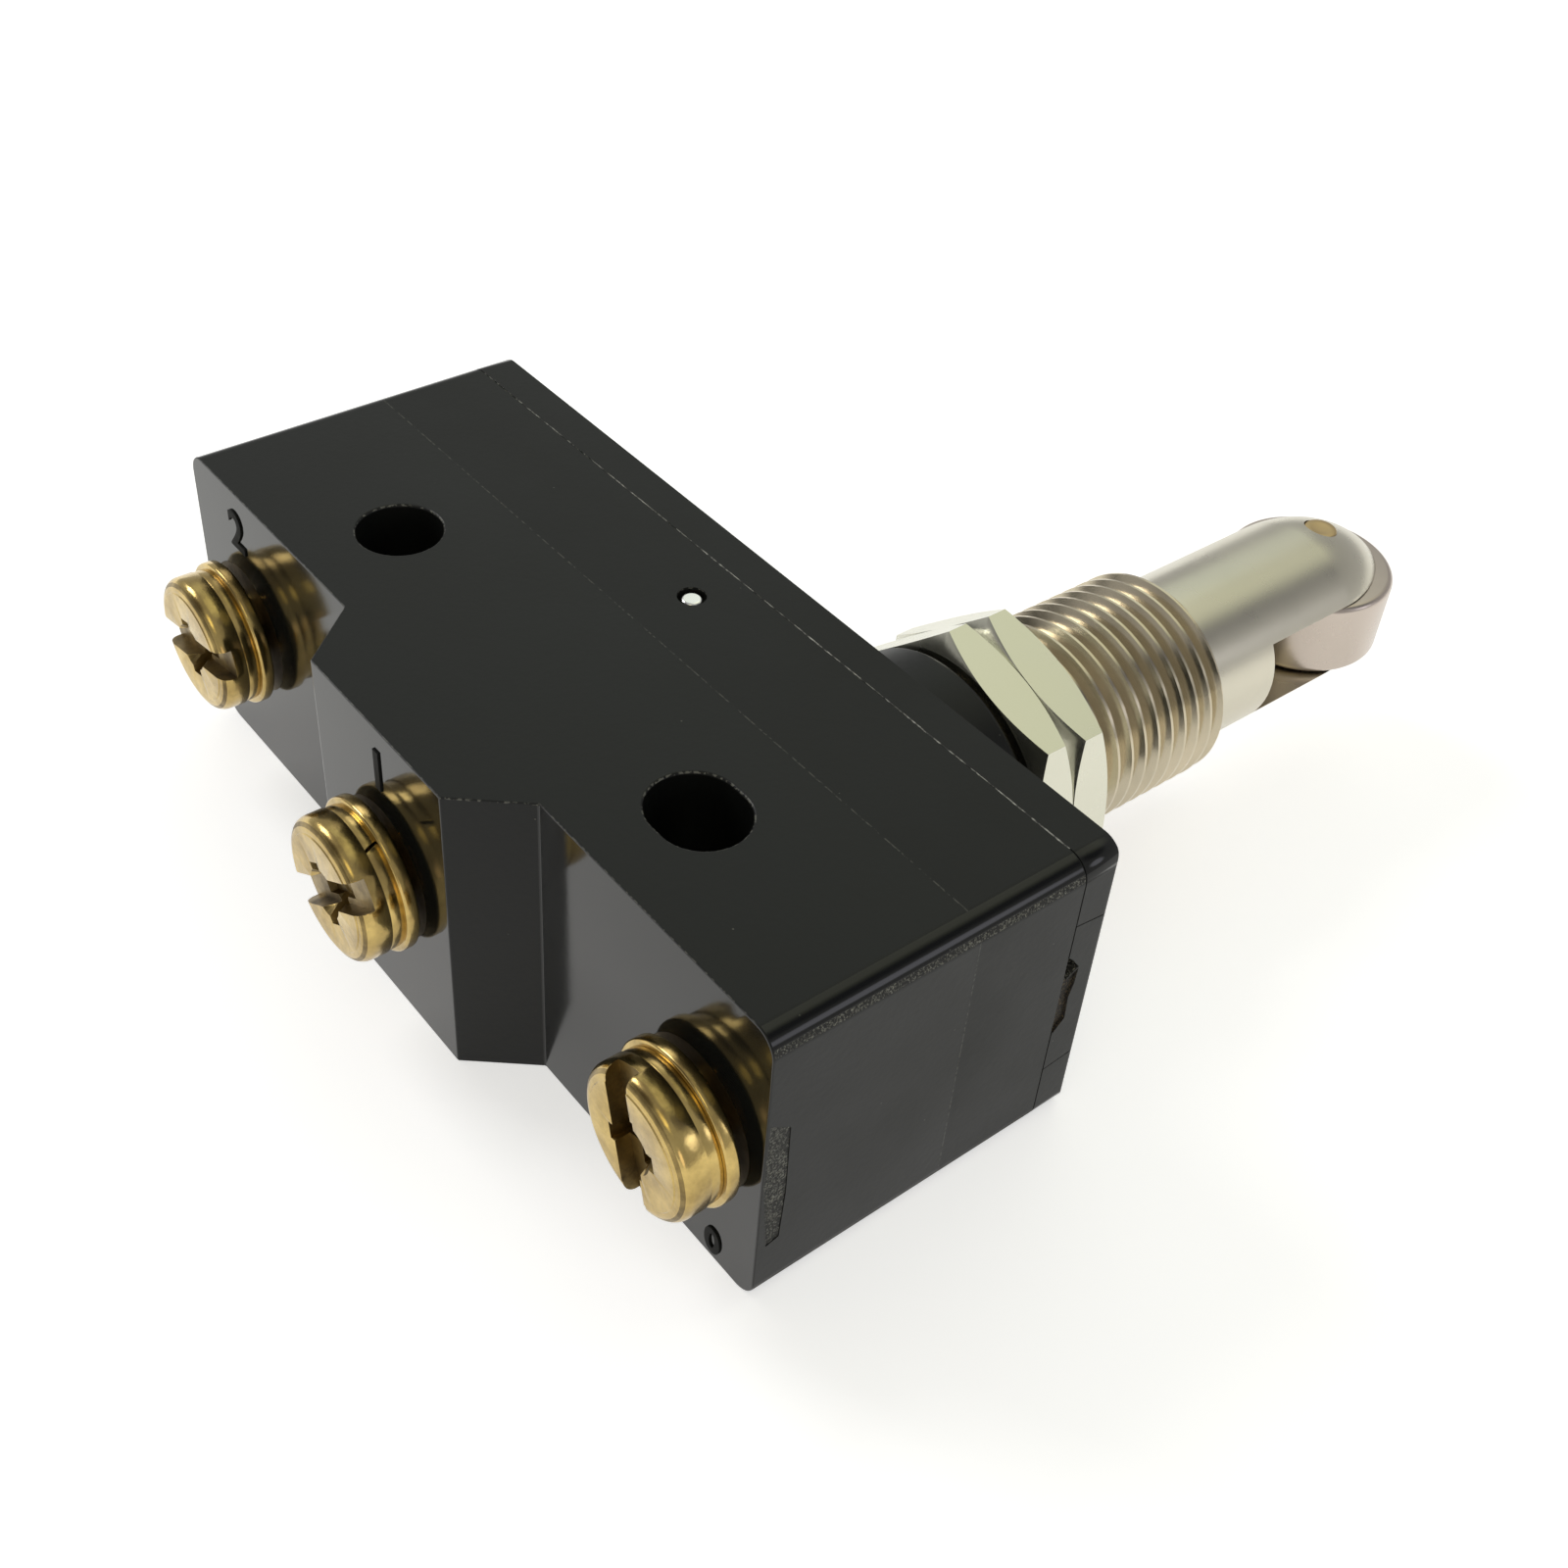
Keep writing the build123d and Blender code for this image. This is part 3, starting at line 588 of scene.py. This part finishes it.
axis_point = Vector((plunger_x, 0, mid_z))
bushing = turned(
    [
        (stop_radius, bushing_low.y),
        (crest, bushing_low.y),
        (crest, bushing_high.y - thread_chamfer),
        (crest - thread_chamfer, bushing_high.y),
        (bore + 0.15, bushing_high.y),
        (bore, bushing_high.y - 0.15),
        (bore, stop_y),
        (stop_radius, stop_y),
    ],
    axis_point,
    (0, 1, 0),
    steps=128,
)
thread_start = boss_face - 0.5
rod = threaded_rod(axis_point, crest, thread_depth, pitch, thread_start, bushing_high.y + 0.5, crest_phase)
shank = plain_rod(crest + 0.5, 5, thread_start + 0.05, axis_point, (0, 1, 0))
carve(rod, shank, operation="UNION")
carve(bushing, rod, operation="INTERSECT")
thread_nickel = plated("nickel plated thread", (0.68, 0.60, 0.45), (0.52, 0.46, 0.34), 0.16, 0.28)
make_piece("bushing_thread_turned", bushing, [thread_nickel], "housing", "plated_thread", "threaded_bushing")


# Nuts. Two thin hexagon nuts of the same plate, ground on their flats and chamfered on both
# faces, so that each flat ends in two arcs.
nut_turns = {"inner_nut": 41.3, "outer_nut": 39.6}
nut_bore = 5.95
nut_flat = 7.0
nut_corner = nut_flat / cos(radians(30))
nut_drop = (nut_corner - nut_flat) * sin(radians(30)) / cos(radians(30))
bore_chamfer = 0.3
nut_softness = 0.05
nut_nickel = plated("nickel plated nuts", (0.72, 0.71, 0.60), (0.66, 0.65, 0.54), 0.22, 0.32)
for nut, turn in nut_turns.items():
    low, high = corners(nut)
    form = turned(
        [
            (nut_bore, low.y + bore_chamfer),
            (nut_bore + bore_chamfer, low.y),
            (nut_flat, low.y),
            (nut_corner, low.y + nut_drop),
            (nut_corner, high.y - nut_drop),
            (nut_flat, high.y),
            (nut_bore + bore_chamfer, high.y),
            (nut_bore, high.y - bore_chamfer),
        ],
        axis_point,
        (0, 1, 0),
        steps=144,
    )
    hexagon = bmesh.new()
    upright = Matrix.Rotation(radians(90 - turn), 4, "Y") @ Matrix.Rotation(radians(90), 4, "X")
    middle = Matrix.Translation((plunger_x, (low.y + high.y) / 2, mid_z))
    bmesh.ops.create_cone(
        hexagon, cap_ends=True, segments=6, radius1=nut_corner, radius2=nut_corner,
        depth=high.y - low.y + 1, matrix=middle @ upright,
    )
    carve(form, hexagon, operation="INTERSECT")
    soften(form, nut_softness, sharper_than=25)
    make_piece(f"{nut}_hexagon", form, [nut_nickel], nut, "plated_nut", nut)


# Plunger. Turned and polished steel, with a domed end that is slotted for the roller. The two
# ears carry the axle.
plunger_low, plunger_high = corners("roller_plunger")
plunger_radius = 4.85
collar_radius = 5.3
collar_top = 17.4
dome_start = 44.6
dome_radius = 8.6
dome_arc = 50
slot_half = 2.4
slot_floor = 38.25
axle_y = 46.5
axle_radius = 0.97
spring_bore = 3.95
spring_ceiling = 36.75
ear_softness = 0.16
plunger = turned(
    [
        (0, spring_ceiling),
        (spring_bore, spring_ceiling),
        (spring_bore, plunger_low.y),
        (collar_radius, plunger_low.y),
        (collar_radius, collar_top),
        (plunger_radius, collar_top),
        *quarter(plunger_radius - dome_radius, dome_start, dome_radius, 0, dome_arc, 16),
        (0, plunger_high.y),
    ],
    axis_point,
    (0, 1, 0),
    steps=144,
)
slot = block(
    (plunger_x - 8, slot_floor, mid_z - slot_half),
    (plunger_x + 8, plunger_high.y + 2, mid_z + slot_half),
)
carve(plunger, slot)
soften(plunger, ear_softness, 3, 45)
axle_hole = plain_rod(axle_radius, -1, 20, (plunger_x, axle_y, 0), (0, 0, 1), 48)
carve(plunger, axle_hole)
polished = steel("polished plunger steel", (0.66, 0.62, 0.51), (0.60, 0.57, 0.47), 0.24, 0.32, 0.05)
make_piece("plunger_turned", plunger, [polished], "plunger", "plunger_steel", "roller_plunger")


# Roller and its axle. A hardened steel roller with rounded edges turns on a bronze-coloured
# pin that is riveted a little below the surface of both ears.
roller_low, roller_high = corners("roller")
roller_radius = (roller_high.y - roller_low.y) / 2
roller_edge = 0.4
roller = turned(
    [
        (1.0, roller_low.z + 0.12),
        (1.12, roller_low.z),
        *quarter(roller_radius - roller_edge, roller_low.z + roller_edge, roller_edge, 270, 360),
        *quarter(roller_radius - roller_edge, roller_high.z - roller_edge, roller_edge, 0, 90),
        (1.12, roller_high.z),
        (1.0, roller_high.z - 0.12),
    ],
    (plunger_x, axle_y, 0),
    (0, 0, 1),
    steps=128,
)
roller_steel = steel("roller steel", (0.60, 0.52, 0.46), (0.54, 0.47, 0.41), 0.25, 0.35, 0.05)
make_piece("roller_wheel", roller, [roller_steel], "roller", "roller_steel", "roller")

axle_low, axle_high = corners("roller_axle")
axle_size = (axle_high.x - axle_low.x) / 2
axle = turned(
    [
        (0, axle_low.z + 0.1),
        (axle_size * 0.55, axle_low.z),
        *quarter(axle_size - 0.1, axle_low.z + 0.1, 0.1, 270, 360, 3),
        *quarter(axle_size - 0.1, axle_high.z - 0.1, 0.1, 0, 90, 3),
        (axle_size * 0.55, axle_high.z),
        (0, axle_high.z - 0.1),
    ],
    (plunger_x, axle_y, 0),
    (0, 0, 1),
    steps=48,
)
axle_bronze = steel("axle bronze", (0.62, 0.46, 0.24), (0.42, 0.30, 0.15), 0.25, 0.45)
make_piece("axle_pin", axle, [axle_bronze], "plunger", "axle_bronze", "roller_axle")


# Terminal screws and washers. Yellow brass: each screw has a flat head with a deep slot and a
# short cross, and clamps the wire under a split lock washer and a plain one.
def brass(name, light, dark, smooth, rough, pits):
    """Yellow brass, handled and slightly tarnished, with pits and rubbed spots."""
    material, shader, add, wire = new_material(name)
    shader.inputs["Metallic"].default_value = 1.0
    place = add("TexCoord").outputs["Object"]
    clouds = add("TexNoise", {"Vector": place, "Scale": 420, "Detail": 6, "Roughness": 0.65}).outputs["Fac"]
    fine = add("TexNoise", {"Vector": place, "Scale": 1800, "Detail": 4}).outputs["Fac"]
    wire("Base Color", ramp(add, clouds, dark, light, 0.35, 0.65))
    wire("Roughness", spread(add, clouds, rough, smooth))
    bump = add("Bump", {"Strength": pits, "Distance": 0.00003, "Height": fine})
    wire("Normal", bump.outputs["Normal"])
    return material


screw_brass = brass("screw brass", (0.64, 0.47, 0.17), (0.36, 0.25, 0.09), 0.14, 0.28, 0.4)
# Much darker brass for the screws' recesses: painted shade inside the slot, cross and funnel.
recess_brass_with_painted_shade = brass("recess brass with painted shade", (0.36, 0.26, 0.10), (0.10, 0.07, 0.03), 0.25, 0.5, 0.6)
head_radius = 3.75
head_rounding = 0.6
head_height = 1.45
head_step = 0.05
shank_radius = 1.95
screw_pitch = 0.7
screw_thread_depth = 0.35
slot_width = 1.6
slot_depth = 0.8
cross = {"length": 3.2, "width": 0.9, "depth": 1.2}
driver_funnel = [(0, -1), (1.55, -1), (1.3, 0), (0.45, 1.3), (0, 1.3)]
slot_turns = {"common": 13, "normally_open": 33, "normally_closed": 104}
slot_offsets = {"common": 0.0, "normally_open": 0.0, "normally_closed": 0.5}
washer_hole = 2.0
split_turns = {"common": 150, "normally_open": 64, "normally_closed": -24}
split_width = 0.16
split_slant = 20
for who, turn in slot_turns.items():
    low, high = corners(f"{who}_terminal_screw")
    centre = Vector((terminals[who].x, 0, mid_z))
    head_rear = low.y + head_height
    rounding_middle = (head_radius - head_rounding, low.y + head_step + head_rounding)
    head = turned(
        [
            (0, low.y),
            (head_radius - head_rounding - 0.12, low.y),
            (head_radius - head_rounding - 0.06, low.y + head_step),
            *quarter(*rounding_middle, head_rounding, 270, 360, 8),
            (head_radius, head_rear),
            (0, head_rear),
        ],
        centre,
        (0, 1, 0),
        steps=112,
    )
    across = Matrix.Translation((centre.x, low.y, mid_z)) @ Matrix.Rotation(-radians(turn), 4, "Y")
    pockets = []
    for length, width, depth, offset in (
        (2 * head_radius + 1, slot_width, slot_depth, slot_offsets[who]),
        (cross["length"], cross["width"], cross["depth"], 0),
        (cross["width"], cross["length"], cross["depth"], 0),
    ):
        pocket = block((-length / 2, -1, offset - width / 2), (length / 2, depth, offset + width / 2))
        pocket.transform(across)
        pockets.append(pocket)
    funnel = turned(driver_funnel, (centre.x, low.y, mid_z), (0, 1, 0), 32)
    carve(head, *pockets, funnel)
    # Faces inside the slot, cross and driver funnel take the darker brass, as painted shade.
    for face in head.faces:
        middle = face.calc_center_median()
        off_axis = Vector((middle.x - centre.x, middle.z - mid_z))
        inside = off_axis.length < head_radius - 0.2 and low.y + 0.12 < middle.y < low.y + 1.35
        if inside and abs(face.normal.y) < 0.9 and face.normal.xz.dot(off_axis) < 0.75 * off_axis.length:
            face.material_index = 1
        elif inside and face.normal.y < -0.9 and middle.y > low.y + 0.3:
            face.material_index = 1
    soften(head, 0.1, 2, 40)
    shank = threaded_rod(
        centre, shank_radius, screw_thread_depth, screw_pitch, head_rear - 0.1, high.y, 0, steps=40
    )
    carve(head, shank, operation="UNION")
    make_piece(
        f"{who}_screw_turned", head, [screw_brass, recess_brass_with_painted_shade], f"{who}_screw", "screw_brass",
        f"{who}_terminal_screw",
    )

    low, high = corners(f"{who}_terminal_washer")
    radius = (high.x - low.x) / 2
    washer = turned(
        [(washer_hole, low.y), (radius, low.y), (radius, high.y), (washer_hole, high.y)],
        centre,
        (0, 1, 0),
        steps=112,
    )
    soften(washer, 0.15, 3, 45)
    make_piece(
        f"{who}_washer_pressed", washer, [screw_brass], f"{who}_screw", "screw_brass",
        f"{who}_terminal_washer",
    )

    low, high = corners(f"{who}_terminal_lock_washer")
    radius = (high.x - low.x) / 2
    ring = turned(
        [(washer_hole, low.y), (radius, low.y), (radius, high.y), (washer_hole, high.y)],
        centre,
        (0, 1, 0),
        steps=112,
    )
    split = block((0, -1, -split_width / 2), (radius + 1, 1, split_width / 2))
    split.transform(
        Matrix.Translation((centre.x, (low.y + high.y) / 2, mid_z))
        @ Matrix.Rotation(-radians(split_turns[who]), 4, "Y")
        @ Matrix.Rotation(radians(split_slant), 4, "X")
    )
    carve(ring, split)
    soften(ring, 0.08, 2, 45)
    make_piece(
        f"{who}_lock_washer_coiled", ring, [screw_brass], f"{who}_screw", "screw_brass",
        f"{who}_terminal_lock_washer",
    )


# Terminal numbers. Moulded with the case, a little proud of each seat, and rougher than it.
number_height = 0.07
number_spread = 0.06
number_softness = 0.02
dull_phenolic = phenolic("dull phenolic", 0.6, 0.75, 0.6, 0.15)
numbers = {
    "2": (terminals["common"] + Vector((0.2, 0, 6.2)), 3.2),
    "1": (terminals["normally_open"] + Vector((0.15, 0, 6.1)), 3.2),
    "0": (terminals["normally_closed"] + Vector((1.7, 0, -7.5)), 2.2),
}
for number, (place, size) in numbers.items():
    text = bpy.data.curves.new(f"number_{number}", "FONT")
    text.body = number
    text.size = size * MM
    text.align_x = "CENTER"
    text.align_y = "CENTER"
    text.extrude = number_height * MM
    text.offset = number_spread * MM
    text.bevel_depth = number_softness * MM
    shape = bpy.data.objects.new("text", text)
    bpy.context.scene.collection.objects.link(shape)
    mesh = bpy.data.meshes.new_from_object(shape.evaluated_get(bpy.context.evaluated_depsgraph_get()))
    bpy.data.objects.remove(shape)
    figure = bmesh.new()
    figure.from_mesh(mesh)
    figure.transform(
        Matrix.Translation(place) @ Matrix.Rotation(radians(90), 4, "X") @ Matrix.Scale(1 / MM, 4)
    )
    bmesh.ops.remove_doubles(figure, verts=figure.verts, dist=0.001)
    make_piece(f"number_{number}_relief", figure, [dull_phenolic], "housing", "phenolic")


# Inner works. They stay as the CAD made them: red moulding for the pin plunger, beryllium bronze
# for the blade, silver contacts, and brass terminals and bracket, kept dark as painted shade.
red_moulding, _, add, wire = new_material("red moulding")
place = add("TexCoord").outputs["Object"]
clouds = add("TexNoise", {"Vector": place, "Scale": 300, "Detail": 4}).outputs["Fac"]
wire("Base Color", ramp(add, clouds, (0.30, 0.025, 0.02), (0.38, 0.04, 0.03)))
wire("Roughness", spread(add, clouds, 0.35, 0.5))
blade_bronze = brass("blade bronze", (0.80, 0.56, 0.32), (0.68, 0.46, 0.25), 0.22, 0.35, 0.1)
# Terminal brass nearly black: painted shade for the gap between the washers and the seats.
terminal_brass_with_painted_shade = brass("terminal brass with painted shade", (0.16, 0.12, 0.06), (0.09, 0.07, 0.04), 0.4, 0.6, 0.2)
contact_silver = steel("contact silver", (0.90, 0.89, 0.86), (0.80, 0.79, 0.76), 0.2, 0.35)
spring_wire = steel("spring steel", (0.52, 0.52, 0.52), (0.40, 0.40, 0.41), 0.25, 0.4)
inner_works = {
    red_moulding: ["pin_plunger"],
    blade_bronze: ["snap_blade"],
    terminal_brass_with_painted_shade: ["blade_anchor", "blade_rivet", *(f"{who}_terminal" for who in terminals)],
    contact_silver: ["moving_contact", "normally_open_contact", "normally_closed_contact"],
    spring_wire: ["spring_seat"],
}
for material, nodes in inner_works.items():
    for node in nodes:
        frame["nodes"][node].data.materials.clear()
        frame["nodes"][node].data.materials.append(material)


# Overtravel spring. Coiled steel wire in the plunger's bore, between its ceiling and the seat on
# the pin plunger.
spring_low, spring_high = corners("overtravel_spring")
wire_radius = 0.3
coil_radius = (spring_high.x - spring_low.x) / 2 - wire_radius
coils = 7
coil_steps = 40
spring_length = spring_high.y - spring_low.y
rise = (spring_length - 2 * wire_radius) / (coils * coil_steps)
spring = bmesh.new()
first_coil = Matrix.Translation((plunger_x + coil_radius, spring_low.y + wire_radius, mid_z))
bmesh.ops.create_circle(spring, cap_ends=True, radius=wire_radius, segments=12, matrix=first_coil)
bmesh.ops.spin(
    spring, geom=spring.verts[:] + spring.edges[:] + spring.faces[:], cent=axis_point, axis=(0, 1, 0),
    dvec=(0, rise, 0), angle=2 * pi * coils, steps=coils * coil_steps,
)
bmesh.ops.holes_fill(spring, edges=spring.edges)
bmesh.ops.recalc_face_normals(spring, faces=spring.faces)
coiled = make_piece("spring_coiled", spring, [spring_wire], "plunger", "spring_steel", "overtravel_spring")
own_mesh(coiled)


# Table. A white sheet under the switch, which reads as plain white wherever no shadow falls.
floor_size = 4.0
floor_mesh = bmesh.new()
bmesh.ops.create_grid(floor_mesh, x_segments=1, y_segments=1, size=floor_size / 2)
mesh = bpy.data.meshes.new("table")
floor_mesh.to_mesh(mesh)
floor_mesh.free()
table = bpy.data.objects.new("table", mesh)
bpy.context.scene.collection.objects.link(table)
white_sheet, sheet_shader, add, wire = new_material("white sheet")
sheet_shader.inputs["Base Color"].default_value = (0.84, 0.84, 0.84, 1)
sheet_shader.inputs["Roughness"].default_value = 0.9
sheet_shader.inputs["Specular IOR Level"].default_value = 0.0
path = add("LightPath")
seen = add("Math", {0: path.outputs["Is Camera Ray"], 1: path.outputs["Is Glossy Ray"]}, operation="MAXIMUM")
seen = add("Math", {0: seen.outputs[0], 1: path.outputs["Is Transmission Ray"]}, operation="MAXIMUM")
glow = add("Math", {0: seen.outputs[0], 1: 0.56}, operation="MULTIPLY")
sheet_shader.inputs["Emission Color"].default_value = (1, 1, 1, 1)
wire("Emission Strength", glow.outputs[0])
mesh.materials.append(white_sheet)


# Studio light. A soft lamp to the left throws the shadow, and the room is a soft grey with a
# few bright and dark patches, which the metal and the glossy seats mirror.
key_direction = (-0.72, -0.25, 0.65)
key_distance = 0.6
key_size = 0.22
key_watts = 1.0
switch_middle = Vector((0.005, 0.012, 0.008))
lamp = bpy.data.lights.new("key", "AREA")
lamp.shape = "SQUARE"
lamp.size = key_size
lamp.energy = key_watts
key = bpy.data.objects.new("key", lamp)
away = Vector(key_direction).normalized()
key.location = switch_middle + away * key_distance
key.rotation_euler = away.to_track_quat("Z", "Y").to_euler()
bpy.context.scene.collection.objects.link(key)

world = bpy.data.worlds.new("studio")
world.use_nodes = True
bpy.context.scene.world = world
sky = world.node_tree


def sky_node(kind, inputs, **settings):
    """Adds a node to the world and sets its sockets."""
    node = sky.nodes.new("ShaderNode" + kind)
    for key_name, value in settings.items():
        setattr(node, key_name, value)
    for key_name, value in inputs.items():
        if isinstance(value, bpy.types.NodeSocket):
            sky.links.new(value, node.inputs[key_name])
        else:
            node.inputs[key_name].default_value = value
    return node


# Direction of the middle, angles at which a patch starts and stops fading, and what it adds
patches = [
    ((-0.04, 0.50, 0.87), 8, 28, (0.50, 0.52, 0.34)),
    ((-0.56, 0.50, 0.66), 10, 26, (0.46, 0.51, 0.43)),
    ((-0.35, -0.65, 0.67), 8, 26, (-0.32, -0.33, -0.33)),
    ((0.42, 0.50, 0.76), 6, 20, (-0.30, -0.30, -0.27)),
    ((0.79, 0.50, 0.36), 5, 11, (1.6, 1.6, 1.8)),
    ((0.33, -0.49, 0.80), 6, 15, (1.5, 1.35, 0.7)),
    ((0.87, -0.46, 0.16), 5, 13, (1.2, 1.0, 0.9)),
]
direction = sky_node("TexCoord", {}).outputs["Generated"]
height = sky_node("SeparateXYZ", {"Vector": direction}).outputs["Z"]
room = sky_node(
    "MapRange",
    {"Value": height, "From Min": 0.0, "From Max": 0.5, "To Min": 0.50, "To Max": 0.40},
).outputs[0]
colour = sky_node("CombineXYZ", {"X": room, "Y": room, "Z": room}).outputs[0]
for middle, inner, outer, added in patches:
    toward = sky_node("VectorMath", {0: direction, 1: Vector(middle).normalized()}, operation="DOT_PRODUCT")
    glow = sky_node(
        "MapRange",
        {"Value": toward.outputs["Value"], "From Min": cos(radians(outer)), "From Max": cos(radians(inner))},
        interpolation_type="SMOOTHSTEP",
    )
    patch = sky_node("VectorMath", {0: added, "Scale": glow.outputs[0]}, operation="SCALE")
    colour = sky_node("VectorMath", {0: colour, 1: patch.outputs[0]}, operation="ADD").outputs[0]
path = sky_node("LightPath", {})
seen = sky_node(
    "Mix", {"Factor": path.outputs["Is Camera Ray"], "A": colour, "B": (1, 1, 1, 1)}, data_type="RGBA"
)
sky.links.new(seen.outputs["Result"], sky.nodes["Background"].inputs["Color"])


# Camera. It stands where the photographer stood: in front of the near end, looking down.
camera_data = bpy.data.cameras.new("camera")
camera_data.sensor_width = 36.0
camera_data.lens = 44.685
camera_data.clip_start = 0.005
camera = bpy.data.objects.new("camera", camera_data)
bpy.context.scene.collection.objects.link(camera)
stand = Vector((0.06136, -0.0386, 0.07457))
forward = Vector((-0.5575, 0.4973, -0.6647)).normalized()
up = Vector((-0.552, 0.376, 0.7443))
right = forward.cross(up).normalized()
up = right.cross(forward)
camera.matrix_world = Matrix(
    [(*pair, place) for pair, place in zip(zip(right, up, -forward), stand)] + [(0, 0, 0, 1)]
)
bpy.context.scene.camera = camera
bpy.context.scene.view_settings.view_transform = "Standard"
